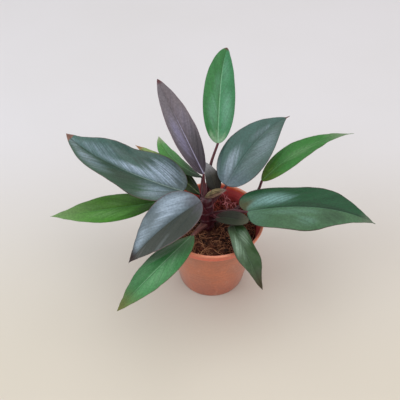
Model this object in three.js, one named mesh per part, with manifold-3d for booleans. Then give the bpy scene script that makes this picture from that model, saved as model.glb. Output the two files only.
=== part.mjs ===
// A potted black majesty philodendron: a plastic nursery pot filled with coir and bark,
// one short ringed stem, and fourteen leaves, each a blade on its own petiole.
// Units are millimetres and +Z is up. The origin is the middle of the pot's underside.

import * as THREE from 'three';
import { mergeVertices } from 'three/addons/utils/BufferGeometryUtils.js';
import Module from 'manifold-3d';

const wasm = await Module();
wasm.setup();

// Clearance between pieces that touch on the real plant.
const GAP = 0.3;

// The pot is a five-inch nursery pot.
const POT = {
  height: 102,
  rimRadius: 62.5,
  footRadius: 42,
  wall: 2,
  floor: 4,
  lipHeight: 12,
  lipStep: 2.2,
  stepSlope: 1.5,
  rimBead: 1.2,
  beadHeight: 2,
  rimEdge: 0.8,
  footEdge: 1,
  floorFillet: 3,
  footRing: 6,
  footRecess: 1.8,
  restDisc: 12,
  drainHoles: 6,
  drainRadius: 4,
  drainCircle: 26,
  drainSides: 8,
  sides: 52,
};

// The potting mix stands a little below the rim. Its bumps, chips and fibres are one body.
const SOIL = {
  level: 86,
  swell: 1.3,
  settle: 2.4,
  rings: 7,
  sides: 36,
  reach: 44,
  bareMiddle: 0.06,
  chips: 12,
  chipSmallest: 2,
  chipLargest: 4.4,
  chipShape: [1.2, 0.8, 0.5],
  chipTilt: 0.9,
  strands: 13,
  strandShortest: 12,
  strandLongest: 24,
  strandTurn: 2.2,
  strandArch: 1.1,
  strandSink: 1.15,
  strandRadius: 0.6,
  strandSides: 3,
  strandSteps: 5,
  seed: 7,
};

// The stem stands in a plain hole in the soil and leans back a little.
const STEM = {
  foot: [-4, -1, 46],
  middle: [-6, 0, 90],
  top: [-8, 3, 135],
  footRadius: 9.2,
  topRadius: 7.2,
  ringHeight: 0.8,
  rings: 8,
  ringSharpness: 3,
  tipStart: 0.95,
  tipNarrowing: 0.5,
  sides: 12,
  steps: 24,
};

const PETIOLE = {
  baseRadius: 3.4,
  endRadius: 1.4,
  sides: 6,
  steps: 7,
};

const BLADE = {
  thickness: 0.8,
  curl: 0.15,
  tipHalfWidth: 0.55,
  tailHalfWidth: 0.4,
  baseHalfWidth: 1.4,
  baseLength: 0.2,
  baseSwell: 0.6,
  swellLength: 0.06,
  keel: 1.3,
  tipKeel: 0.25,
  ribHalfWidth: 1.3,
  ribLargestShare: 0.2,
  middleColumn: 0.6,
  lobeFalloff: 4,
  leftWaveShift: 0.27,
  rows: 16,
  smallRows: 12,
  smallLength: 90,
  endCrowding: 0.08,
  tailRows: 2,
};

// Each leaf's petiole leaves the stem at the height node, passes through dip, if it has one,
// and via, and ends at base, where the blade begins. The blade's midrib sets out along heading
// and rise, in degrees, turns by bend and hook, and droops towards its tip. The blade rolls
// about the midrib and twists along it, and its two halves are raised by fold. widest is where
// along its length it is widest, and a higher round makes both its ends more pointed. lobe is
// how far the base lobes reach back, wave is the height of the waves in the margin, tail is a
// drip tip, and stalk is the petiole's thickness against the usual one.
const LEAF_DEFAULTS = {
  hook: 0,
  roll: 0,
  twist: 0,
  fold: 12,
  round: 0.55,
  lobe: 0,
  skew: 0,
  wave: 0,
  waves: 2,
  phase: 0,
  tail: 0,
  stalk: 1,
  dip: null,
};

const LEAVES = {
  // Upright leaves at the back of the crown.
  young: {
    base: [-11, 9, 165], length: 119, width: 36, heading: 141, rise: 58, droop: 8, bend: -9,
    roll: 1, twist: 3, fold: 16, widest: 0.44, round: 0.63, node: 126, via: [-10, 8, 147],
    colour: 'purple',
  },
  back: {
    base: [6, 48, 178], length: 124, width: 42, heading: 88, rise: 47, droop: 29, bend: -4,
    hook: -10, roll: -17, twist: -19, fold: 6, widest: 0.44, round: 0.53, node: 122,
    via: [-3, 35, 152], colour: 'bright',
  },
  back_right: {
    base: [16, 11, 145], length: 122, width: 58, heading: 55, rise: 35, droop: 36, bend: -9,
    hook: -9, roll: -6, twist: -10, fold: 16, widest: 0.35, round: 0.59, lobe: 4, tail: 4,
    node: 119, via: [8, 8, 133], colour: 'blue',
  },
  // Leaves on the right.
  right_high: {
    base: [59, 26, 138], length: 128, width: 35, heading: 34, rise: 32, droop: 35, bend: -12,
    hook: -12, twist: 14, fold: 16, widest: 0.37, round: 0.68, tail: 4, stalk: 1.1, node: 94,
    dip: [24, 7, 105], via: [54, 20, 127], colour: 'bright',
  },
  right_low: {
    base: [40, -14, 126], length: 145, width: 63, heading: -3, rise: 19, droop: 27, bend: -9,
    hook: -19, roll: -12, twist: 2, fold: 9, widest: 0.36, round: 0.57, lobe: 24, skew: -0.7,
    wave: 5, waves: 1.61, phase: -0.13, tail: 2, stalk: 1.2, node: 103, via: [20, -3, 116],
    colour: 'dark',
  },
  // Leaves that hang over the front of the rim.
  front_small: {
    base: [4, -15, 118], length: 40, width: 22, heading: -19, rise: 19, droop: 16, bend: -3,
    twist: -8, fold: 15, widest: 0.45, round: 0.4, node: 108, via: [0, -6, 112], colour: 'dark',
  },
  front_right: {
    base: [24, -24, 114], length: 84, width: 30, heading: -72, rise: -2, droop: 45, bend: 13,
    hook: 5, roll: 7, twist: 10, fold: 16, widest: 0.39, round: 0.6, lobe: 10, wave: 3,
    waves: 1.86, phase: -0.18, node: 98, via: [10, -9, 107], colour: 'dark',
  },
  front_left: {
    base: [-23, -37, 112], length: 127, width: 46, heading: -125, rise: 9, droop: 31, bend: -10,
    roll: -19, twist: 6, fold: 6, widest: 0.44, round: 0.8, stalk: 1.5, node: 94,
    via: [-17, -17, 99], colour: 'green',
  },
  // Leaves on the left.
  left_hanging: {
    base: [-14, -31, 161], length: 114, width: 62, heading: -154, rise: -15, droop: 43,
    bend: -3, hook: -12, roll: 9, twist: -5, fold: 21, widest: 0.32, round: 0.55, node: 109,
    via: [-12, -18, 138], colour: 'lilac',
  },
  left_low: {
    base: [-64, 8, 120], length: 132, width: 43, heading: 189, rise: -2, droop: 8, bend: -9,
    roll: 3, twist: 4, fold: 12, widest: 0.41, round: 0.85, node: 100, via: [-32, 5, 112],
    colour: 'green',
  },
  left_high: {
    base: [-35, 7, 139], length: 154, width: 70, heading: 181, rise: 24, droop: 6, bend: -25,
    hook: -19, roll: 12, fold: 27, widest: 0.35, round: 0.51, lobe: 16, skew: 0.3, wave: 5,
    waves: 1.96, phase: -0.16, node: 112, via: [-20, 6, 128], colour: 'blue',
  },
  // Small leaves half hidden behind the left ones.
  back_left_small: {
    base: [-12, 34, 137], length: 80, width: 31, heading: 166, rise: 19, droop: 4, bend: -52,
    hook: -9, roll: -25, twist: 3, fold: 4, widest: 0.43, round: 0.74, node: 115,
    via: [-13, 20, 130], colour: 'bright',
  },
  back_left_low: {
    base: [-15, 16, 125], length: 101, width: 33, heading: 147, rise: 29, droop: 19, bend: -1,
    roll: -7, twist: -5, fold: 12, widest: 0.41, round: 0.76, node: 104, via: [-11, 8, 115],
    colour: 'green',
  },
  bud: {
    base: [5, 11, 134], length: 38, width: 20, heading: 120, rise: 58, droop: 20, bend: 3,
    roll: -1, twist: -3, fold: 14, widest: 0.4, round: 0.6, node: 113, via: [-1, 11, 122],
    colour: 'olive',
  },
};

// A dried sheath stands at the top of the stem.
const SHEATH = {
  base: [-9, 0, 136], length: 27, width: 11, heading: 8, rise: 27, droop: 14,
  bend: 0, roll: -25, fold: 28, widest: 0.45, round: 0.75, colour: 'straw',
};

const COLOURS = {
  pot: 0xb4643f,
  soil: 0x3a2a20,
  stem: 0x3d1a22,
  petiole: 0x4f2230,
  purple: 0x54465a,
  bright: 0x2f7438,
  blue: 0x3f5f5c,
  dark: 0x2c5a3c,
  green: 0x2f6b3c,
  lilac: 0x66737c,
  olive: 0x3c4434,
  straw: 0x8a7a55,
};

const radians = THREE.MathUtils.degToRad;

function vector([x, y, z]) {
  return new THREE.Vector3(x, y, z);
}

// Random numbers from 0 to 1 that come out the same on every run.
function seededRandom(seed) {
  let state = seed;
  return () => {
    state = (state * 1664525 + 1013904223) % 4294967296;
    return state / 4294967296;
  };
}

function closedGeometry(points, triangles) {
  const geometry = new THREE.BufferGeometry();
  const positions = new Float32Array(points.flatMap((point) => point.toArray()));
  geometry.setAttribute('position', new THREE.BufferAttribute(positions, 3));
  geometry.setIndex(triangles);
  geometry.computeVertexNormals();
  return geometry;
}

// A closed solid through rings of equal size, each anticlockwise seen from the far end.
function loft(rings) {
  const count = rings[0].length;
  const points = rings.flat();
  const triangles = [];
  for (let i = 0; i < rings.length - 1; i += 1) {
    for (let j = 0; j < count; j += 1) {
      const next = (j + 1) % count;
      const near = i * count;
      const far = near + count;
      triangles.push(near + j, near + next, far + next);
      triangles.push(near + j, far + next, far + j);
    }
  }
  const last = (rings.length - 1) * count;
  for (const [start, flipped] of [[0, true], [last, false]]) {
    const centre = new THREE.Vector3();
    for (let j = 0; j < count; j += 1) centre.addScaledVector(points[start + j], 1 / count);
    const hub = points.push(centre) - 1;
    for (let j = 0; j < count; j += 1) {
      const next = (j + 1) % count;
      if (flipped) triangles.push(hub, start + next, start + j);
      else triangles.push(hub, start + j, start + next);
    }
  }
  return closedGeometry(points, triangles);
}

// A closed tube along a curve, with a radius that changes from 0 to 1 along it.
function taperedTube(curve, radiusAt, sides, steps) {
  const frames = curve.computeFrenetFrames(steps, false);
  const rings = [];
  for (let i = 0; i <= steps; i += 1) {
    const centre = curve.getPointAt(i / steps);
    const radius = radiusAt(i / steps);
    const ring = [];
    for (let j = 0; j < sides; j += 1) {
      const angle = (j / sides) * Math.PI * 2;
      ring.push(centre.clone()
        .addScaledVector(frames.normals[i], radius * Math.cos(angle))
        .addScaledVector(frames.binormals[i], radius * Math.sin(angle)));
    }
    rings.push(ring);
  }
  return loft(rings);
}

function solidOf(geometry) {
  const bare = geometry.clone();
  bare.deleteAttribute('normal');
  bare.deleteAttribute('uv');
  const merged = mergeVertices(bare);
  return new wasm.Manifold(new wasm.Mesh({
    numProp: 3,
    vertProperties: new Float32Array(merged.attributes.position.array),
    triVerts: new Uint32Array(merged.index.array),
  }));
}

function geometryOf(solid) {
  const { vertProperties, triVerts } = solid.getMesh();
  const geometry = new THREE.BufferGeometry();
  geometry.setAttribute('position', new THREE.BufferAttribute(new Float32Array(vertProperties), 3));
  geometry.setIndex(new THREE.BufferAttribute(new Uint32Array(triVerts), 1));
  geometry.computeVertexNormals();
  return geometry;
}

// The largest body of a solid, without the loose scraps that a cut leaves.
function mainBody(solid) {
  const bodies = solid.decompose();
  return bodies.reduce((largest, body) => (body.volume() > largest.volume() ? body : largest));
}

// The radius of the pot's inside at a height, between its floor and its lip.
function potInside(z) {
  const bodyTop = POT.rimRadius - POT.lipStep - POT.rimBead;
  const outside = THREE.MathUtils.mapLinear(z, 0, POT.height, POT.footRadius, bodyTop);
  return outside - POT.wall;
}

function makePot() {
  const { height, rimRadius, rimBead, beadHeight, rimEdge, wall, lipStep, stepSlope } = POT;
  const { footRadius, footRing, footRecess, footEdge, floorFillet } = POT;
  const { drainRadius, drainCircle } = POT;
  const lipFoot = height - POT.lipHeight;
  const underLip = potInside(lipFoot) + wall;
  const lipInside = rimRadius - rimBead - wall;
  const profile = [
    [0, 0],
    [POT.restDisc, 0],
    [POT.restDisc + footEdge, footRecess],
    [footRadius - footRing - footEdge, footRecess],
    [footRadius - footRing, 0],
    [footRadius - footEdge, 0],
    [footRadius, footEdge],
    [underLip - 0.4, lipFoot - 2],
    [underLip + lipStep - 0.6, lipFoot],
    [underLip + lipStep, lipFoot + stepSlope],
    [rimRadius - rimBead, height - beadHeight - stepSlope],
    [rimRadius, height - beadHeight],
    [rimRadius, height - rimEdge],
    [rimRadius - rimEdge, height],
    [lipInside + 0.5, height],
    [lipInside, height - rimEdge],
    [potInside(lipFoot) + 1.2, lipFoot + 2],
    [potInside(lipFoot), lipFoot - 1],
    [potInside(POT.floor + floorFillet), POT.floor + floorFillet],
    [potInside(POT.floor) - floorFillet, POT.floor],
    [0, POT.floor],
  ].map(([r, z]) => new THREE.Vector2(r, z));
  const lathe = new THREE.LatheGeometry(profile, POT.sides);
  lathe.rotateX(Math.PI / 2);
  let pot = solidOf(lathe);
  for (let i = 0; i < POT.drainHoles; i += 1) {
    const angle = (i / POT.drainHoles) * Math.PI * 2;
    const hole = new THREE.CylinderGeometry(drainRadius, drainRadius, POT.floor * 3, POT.drainSides);
    hole.rotateX(Math.PI / 2);
    hole.translate(drainCircle * Math.cos(angle), drainCircle * Math.sin(angle), POT.floor);
    pot = pot.subtract(solidOf(hole));
  }
  return geometryOf(pot);
}

// The height of the soil's surface: low swells, and a slope down at the pot's wall.
function soilHeight(x, y) {
  const radius = Math.hypot(x, y);
  const swell = Math.sin(x / 9 + 0.6) * Math.cos(y / 7.5) + 0.5 * Math.sin((x + y) / 4.2);
  const edge = THREE.MathUtils.smoothstep(radius, 38, 57);
  return SOIL.level + SOIL.swell * swell - SOIL.settle * edge;
}

function soilRing(radius, heightAt) {
  const ring = [];
  for (let j = 0; j < SOIL.sides; j += 1) {
    const angle = (j / SOIL.sides) * Math.PI * 2;
    const x = radius * Math.cos(angle);
    const y = radius * Math.sin(angle);
    ring.push(new THREE.Vector3(x, y, heightAt(x, y)));
  }
  return ring;
}

function bareSoil() {
  const floor = POT.floor + GAP;
  const shoulder = SOIL.level - SOIL.settle - SOIL.swell * 2;
  const rings = [
    soilRing(potInside(floor) - 3.4 - GAP, () => floor),
    soilRing(potInside(floor + 3) - 3 * GAP, () => floor + 3),
    soilRing(potInside(shoulder) - 3 * GAP, () => shoulder),
  ];
  const edge = potInside(shoulder) - 1.5;
  for (let i = 0; i < SOIL.rings; i += 1) {
    rings.push(soilRing(edge * (1 - i / SOIL.rings), soilHeight));
  }
  return solidOf(loft(rings));
}

// A bark chip: a small rough lump, squashed and half sunk in the surface.
function chip(random, x, y) {
  const size = THREE.MathUtils.lerp(SOIL.chipSmallest, SOIL.chipLargest, random());
  const lump = new THREE.IcosahedronGeometry(size, 0);
  lump.scale(...SOIL.chipShape);
  lump.rotateX((random() - 0.5) * SOIL.chipTilt);
  lump.rotateZ(random() * Math.PI * 2);
  lump.translate(x, y, soilHeight(x, y) + size * 0.12);
  return solidOf(lump);
}

// A coir fibre: a thin arch whose two ends are sunk in the surface.
function strand(random, x, y) {
  const heading = random() * Math.PI * 2;
  const turn = (random() - 0.5) * SOIL.strandTurn;
  const length = THREE.MathUtils.lerp(SOIL.strandShortest, SOIL.strandLongest, random());
  const points = [];
  for (let i = 0; i <= 4; i += 1) {
    const t = i / 4 - 0.5;
    const direction = heading + turn * t;
    const px = x + length * t * Math.cos(direction);
    const py = y + length * t * Math.sin(direction);
    const arch = SOIL.strandArch - (SOIL.strandArch + SOIL.strandSink) * (2 * t) ** 2;
    points.push(new THREE.Vector3(px, py, soilHeight(px, py) + arch));
  }
  const curve = new THREE.CatmullRomCurve3(points);
  return solidOf(taperedTube(curve, () => SOIL.strandRadius, SOIL.strandSides, SOIL.strandSteps));
}

function makeSoil(clearedStem) {
  const random = seededRandom(SOIL.seed);
  let soil = bareSoil();
  for (let i = 0; i < SOIL.chips + SOIL.strands; i += 1) {
    const radius = SOIL.reach * Math.sqrt(THREE.MathUtils.lerp(SOIL.bareMiddle, 1, random()));
    const angle = random() * Math.PI * 2;
    const x = radius * Math.cos(angle);
    const y = radius * Math.sin(angle);
    soil = soil.add(i < SOIL.chips ? chip(random, x, y) : strand(random, x, y));
  }
  return geometryOf(mainBody(soil.subtract(clearedStem)));
}

// The stem has a ring at each old leaf scar and narrows to the growing tip.
function stemSolid(extra) {
  const curve = new THREE.CatmullRomCurve3([STEM.foot, STEM.middle, STEM.top].map(vector));
  const radiusAt = (t) => {
    const taper = THREE.MathUtils.lerp(STEM.footRadius, STEM.topRadius, t);
    const scar = Math.cos(t * STEM.rings * Math.PI * 2);
    const tip = THREE.MathUtils.smoothstep(t, STEM.tipStart, 1.02);
    const ring = STEM.ringHeight * Math.max(scar, 0) ** STEM.ringSharpness;
    return (taper + ring) * (1 - STEM.tipNarrowing * tip) + extra;
  };
  return solidOf(taperedTube(curve, radiusAt, STEM.sides, STEM.steps));
}

// The middle of the stem at a height.
function stemAxis(z) {
  const t = THREE.MathUtils.inverseLerp(STEM.middle[2], STEM.top[2], z);
  return vector(STEM.middle).lerp(vector(STEM.top), t);
}

// The direction of a leaf's midrib, from its base at 0 to its tip at 1.
function midribDirection(leaf, t) {
  const pitch = radians(leaf.rise - leaf.droop * t);
  const heading = radians(leaf.heading + leaf.bend * t + leaf.hook * t ** 3);
  return {
    heading,
    forward: new THREE.Vector3(
      Math.cos(pitch) * Math.cos(heading),
      Math.cos(pitch) * Math.sin(heading),
      Math.sin(pitch),
    ),
  };
}

// Stations along the midrib, closer together at the base and the tip. Each holds its place
// from 0 to 1, its point, and the blade's forward, right and up directions there.
function midribStations(leaf) {
  const rows = leaf.length < BLADE.smallLength ? BLADE.smallRows : BLADE.rows;
  const places = [];
  for (let i = 0; i <= rows; i += 1) {
    places.push(i / rows - BLADE.endCrowding * Math.sin((i / rows) * Math.PI * 2));
  }
  const point = vector(leaf.base);
  const stations = places.map((t, i) => {
    if (i > 0) {
      const before = places[i - 1];
      point.addScaledVector(midribDirection(leaf, (before + t) / 2).forward, leaf.length * (t - before));
    }
    const { heading, forward } = midribDirection(leaf, t);
    const roll = radians(leaf.roll + leaf.twist * t);
    const level = new THREE.Vector3(Math.sin(heading), -Math.cos(heading), 0);
    const right = level.clone().applyAxisAngle(forward, -roll);
    const up = right.clone().cross(forward);
    return { t, point: point.clone(), forward, right, up, reach: 1 };
  });
  const tip = stations[stations.length - 1];
  for (let i = 1; leaf.tail > 0 && i <= BLADE.tailRows; i += 1) {
    const share = i / BLADE.tailRows;
    const end = tip.point.clone().addScaledVector(tip.forward, leaf.tail * share);
    stations.push({ ...tip, point: end, reach: 1 - share });
  }
  return stations;
}

function halfWidth(leaf, { t, reach }) {
  const m = leaf.widest;
  const a = leaf.round;
  const b = (a * (1 - m)) / m;
  const outline = (leaf.width / 2) * (t / m) ** a * ((1 - t) / (1 - m)) ** b;
  const beyondBase = Math.min(t / BLADE.baseLength, 1);
  const least = THREE.MathUtils.lerp(BLADE.baseHalfWidth, BLADE.tipHalfWidth, beyondBase);
  const tail = leaf.tail > 0 && t > 0.5 ? BLADE.tailHalfWidth * reach : 0;
  return Math.max(outline, least + tail);
}

// A point of the blade's middle surface. across runs from -1 at the left margin to 1.
function bladePoint(leaf, station, across, offset) {
  const { t, point, forward, right, up } = station;
  const half = halfWidth(leaf, station);
  const fold = radians(leaf.fold);
  const spread = across * across;
  const share = half / (leaf.width / 2);
  const side = Math.sign(across);
  const back = leaf.lobe * (1 + leaf.skew * side) * spread * share * (1 - t) ** BLADE.lobeFalloff;
  const turn = leaf.waves * t + leaf.phase + (side > 0 ? 0 : BLADE.leftWaveShift);
  const ripple = leaf.wave * share * spread * Math.sin(turn * Math.PI * 2);
  const lift = half * (Math.abs(across) * Math.sin(fold) - BLADE.curl * spread);
  return point.clone()
    .addScaledVector(right, half * across * Math.cos(fold))
    .addScaledVector(up, lift + ripple + offset)
    .addScaledVector(forward, -back);
}

// A blade as one closed solid: a top face, an under face with a keeled midrib, split into
// triangles alike, and a thin edge all round.
function makeBlade(leaf, extra = 0) {
  const stations = midribStations(leaf);
  stations[0].point.addScaledVector(stations[0].forward, -extra);
  const tops = [];
  const unders = [];
  for (const station of stations) {
    const half = halfWidth(leaf, station);
    const rib = Math.min(BLADE.ribHalfWidth / half, BLADE.ribLargestShare);
    const columns = [-1, -BLADE.middleColumn, -rib, 0, rib, BLADE.middleColumn, 1];
    const swell = BLADE.baseSwell * Math.max(0, 1 - station.t / BLADE.swellLength);
    const keel = THREE.MathUtils.lerp(BLADE.keel, BLADE.tipKeel, station.t);
    tops.push(columns.map((u) => {
      const rise = BLADE.thickness / 2 + swell * (1 - u * u) + extra;
      return bladePoint(leaf, station, u, rise);
    }));
    unders.push(columns.map((u) => {
      const depth = BLADE.thickness / 2 + (u === 0 ? keel : 0) + extra;
      return bladePoint(leaf, station, u, -depth);
    }));
  }
  const columns = tops[0].length;
  const layer = tops.length * columns;
  const top = (i, j) => i * columns + j;
  const under = (i, j) => layer + i * columns + j;
  const triangles = [];
  const quad = (a, b, c, d) => triangles.push(a, b, c, a, c, d);
  for (let i = 0; i < tops.length - 1; i += 1) {
    for (let j = 0; j < columns - 1; j += 1) {
      const leftHalf = j < (columns - 1) / 2;
      if (leftHalf) {
        quad(top(i, j + 1), top(i + 1, j + 1), top(i + 1, j), top(i, j));
        quad(under(i, j + 1), under(i, j), under(i + 1, j), under(i + 1, j + 1));
      } else {
        quad(top(i, j), top(i, j + 1), top(i + 1, j + 1), top(i + 1, j));
        quad(under(i, j), under(i + 1, j), under(i + 1, j + 1), under(i, j + 1));
      }
    }
    quad(top(i, 0), top(i + 1, 0), under(i + 1, 0), under(i, 0));
    const edge = columns - 1;
    quad(top(i, edge), under(i, edge), under(i + 1, edge), top(i + 1, edge));
  }
  const end = tops.length - 1;
  for (let j = 0; j < columns - 1; j += 1) {
    quad(top(0, j), under(0, j), under(0, j + 1), top(0, j + 1));
    quad(top(end, j), top(end, j + 1), under(end, j + 1), under(end, j));
  }
  return closedGeometry([...tops.flat(), ...unders.flat()], triangles);
}

// A petiole climbs out of the stem, broad at its foot, and ends just short of its blade.
function petioleSolid(leaf) {
  const dips = leaf.dip ? [vector(leaf.dip)] : [];
  const places = [stemAxis(leaf.node), ...dips, vector(leaf.via), vector(leaf.base)];
  const curve = new THREE.CatmullRomCurve3(places);
  const { endRadius, baseRadius } = PETIOLE;
  const radiusAt = (t) => leaf.stalk * THREE.MathUtils.lerp(endRadius, baseRadius, (1 - t) ** 2);
  return solidOf(taperedTube(curve, radiusAt, PETIOLE.sides, PETIOLE.steps));
}

function namedMesh(name, geometry, colour, roughness) {
  const material = new THREE.MeshStandardMaterial({ color: COLOURS[colour], roughness, metalness: 0 });
  const mesh = new THREE.Mesh(geometry, material);
  mesh.name = name;
  return mesh;
}

const group = new THREE.Group();
const clearedStem = stemSolid(GAP);

group.add(namedMesh('pot', makePot(), 'pot', 0.45));
group.add(namedMesh('soil', makeSoil(clearedStem), 'soil', 0.95));
group.add(namedMesh('stem', geometryOf(stemSolid(0)), 'stem', 0.6));

const sheath = solidOf(makeBlade({ ...LEAF_DEFAULTS, ...SHEATH })).subtract(clearedStem);
group.add(namedMesh('dry_sheath', geometryOf(mainBody(sheath)), 'straw', 0.8));

for (const [name, shape] of Object.entries(LEAVES)) {
  const leaf = { ...LEAF_DEFAULTS, ...shape };
  group.add(namedMesh(`blade_${name}`, makeBlade(leaf), leaf.colour, 0.35));
  const clearedBlade = solidOf(makeBlade(leaf, GAP));
  const petiole = mainBody(petioleSolid(leaf).subtract(clearedStem).subtract(clearedBlade));
  group.add(namedMesh(`petiole_${name}`, geometryOf(petiole), 'petiole', 0.5));
}

export default group;
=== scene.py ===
# A potted black majesty philodendron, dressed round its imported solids.
# Units are metres and +Z is up. The origin is the middle of the pot's underside.

import math
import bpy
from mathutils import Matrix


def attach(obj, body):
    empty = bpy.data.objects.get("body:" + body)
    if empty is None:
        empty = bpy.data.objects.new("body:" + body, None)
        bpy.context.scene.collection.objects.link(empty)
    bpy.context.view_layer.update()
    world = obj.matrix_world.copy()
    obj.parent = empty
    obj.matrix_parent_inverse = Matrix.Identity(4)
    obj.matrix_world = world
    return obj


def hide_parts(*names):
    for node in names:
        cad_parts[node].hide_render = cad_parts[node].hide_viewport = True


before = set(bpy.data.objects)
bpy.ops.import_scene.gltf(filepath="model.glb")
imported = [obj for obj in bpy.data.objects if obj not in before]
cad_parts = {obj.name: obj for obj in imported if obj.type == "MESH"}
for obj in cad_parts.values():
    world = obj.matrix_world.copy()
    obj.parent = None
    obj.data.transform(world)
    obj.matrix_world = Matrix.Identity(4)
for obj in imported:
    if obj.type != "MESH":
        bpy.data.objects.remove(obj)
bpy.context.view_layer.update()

from types import SimpleNamespace

import bmesh
import bpy
import numpy as np
from mathutils import Matrix, Vector, noise

BODY = "root"

# The photograph's view: 45 degrees down, from in front.
CAMERA = SimpleNamespace(place=(-0.015, -0.498, 0.630), tilt=45, lens=54, sensor=36, clip=0.01)

# The pot, whose wall steps out to a lip below its rim, and the drain holes in its floor.
POT = SimpleNamespace(
    height=0.102, foot=0.042, rim=0.0625, wall=0.002, floor=0.004, floor_fillet=0.003,
    lip=0.012, lip_inside_step=0.0018, step=0.0022, step_slope=0.0015, bead=0.0012,
    bead_height=0.002, rim_edge=0.0008, foot_edge=0.001, foot_ring=0.006, recess=0.0018,
    rest_disc=0.012, fillet=0.0008, sides=160, sharp_angle=50,
)
DRAIN = SimpleNamespace(holes=6, radius=0.004, circle=0.026, sides=28)

# The potting mix has low swells, a slope down at the wall, and clumps and grains on its surface.
SOIL = SimpleNamespace(
    level=0.086, swell=0.0013, swell_lengths=(0.009, 0.0075, 0.0042), settle=0.0024,
    settle_span=(0.038, 0.057), clearance=0.0004, clump_height=0.0011, clump_scale=110,
    grain_height=0.0009, grain_scale=330, rings=70, sides=180,
)

# The scraps on the mix. A pair of sizes is the least one and the most that is added to it.
# Past its top_angle a curl bows no further down. A chip stands up by a share of its size, and
# lumps is how many lumps there are in that size.
FIBRE = SimpleNamespace(
    count=640, spread=0.051, reach=0.0525, curl=9.0, length=(0.007, 0.018),
    rise=(0.0006, 0.0030), radius=(0.00013, 0.00028), lift=0.0006, end_sink=0.0014, steps=16,
    sides=5, seed=7,
)
CURL = SimpleNamespace(
    count=30, middle=(0.017, 0.038), spread=0.030, reach=0.046, height=(0.006, 0.010),
    bow=(0.0025, 0.0035), half_turns=(0.9, 0.7), radius=(0.00040, 0.00025), top_angle=2.4,
    climb=0.001, sink=0.001, steps=16, sides=7, seed=5,
)
CHIP = SimpleNamespace(
    count=150, crumbs=260, size=(0.0012, 0.0018), crumb_size=(0.0005, 0.0006), spread=0.0505,
    tilt=0.4, stretch=1.4, flatness=(0.45, 0.3), roughness=0.35, lumps=1.6, lift=0.0006,
    stand=0.15, seed=11,
)

# The stem's bark has ribs, by height, by how many go round it and by how far they twist.
STEM = SimpleNamespace(
    foot=(-0.004, -0.001, 0.046), middle=(-0.006, 0.0, 0.090), top=(-0.008, 0.003, 0.135),
    foot_radius=0.0092, top_radius=0.0072, rings=8, ring_height=0.0008, ring_tilt=0.012,
    ring_sharpness=9, groove_sharpness=30, groove_shift=0.011,
    bark=((0.00012, 11, 9), (0.0001, 23, -14)), tip_span=(0.95, 1.02), tip_narrowing=0.5,
    steps=150, sides=48,
)

# A petiole runs on into its blade by a short tongue: distances past the blade's base and
# shares of its radius.
PETIOLE = SimpleNamespace(
    base=0.0034, end=0.0014, width=1.08, base_flare=0.12, height=0.95, groove=0.34,
    groove_spread=0.5, tongue=((0.0015, 0.85), (0.003, 0.65), (0.0045, 0.35)),
    tongue_sink=0.0004, steps=60, sides=20,
)

# A blade, its drip tip, its midrib, its side veins and its soft waves. A place along a blade
# is a share of its length, and crowding sets its points closer at its ends and midrib. finer
# is how many fine veins there are to a side vein, and a share is how strongly they show.
BLADE = SimpleNamespace(
    rows=130, sheath_rows=50, columns=57, end_crowding=0.08, column_crowding=1.35,
    thickness=0.00055, edge=0.00022, curl=0.15, tip_half_width=0.0003, base_half_width=0.0014,
    base_length=0.2, base_swell=0.0006, swell_length=0.06, left_wave_shift=0.27,
    lobe_falloff=4, noise_step=7.3,
)
TAIL = SimpleNamespace(rows=8, half_width=0.0004, shade_length=0.02)
RIB = SimpleNamespace(
    keel=0.0013, tip_keel=0.0002, half_width=0.0011, groove=0.00035, groove_half_width=0.0009,
    groove_start=(0.01, 0.12), line_widths=(0.00084, 0.00036), line_fade=0.35,
)
VEIN = SimpleNamespace(
    spacing=0.0062, depth=0.00007, sharpness=8, start=(0.0004, 0.002), lean=1.8, sweep=0.8,
    finer=5.0, share=0.08, finer_share=0.04, under_share=0.35,
)
WAVE = SimpleNamespace(height=0.0011, scales=(0.3, 30), start=(0.0, 0.007))
WRINKLE = SimpleNamespace(height=0.00022, scales=(1.2, 45))

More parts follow.
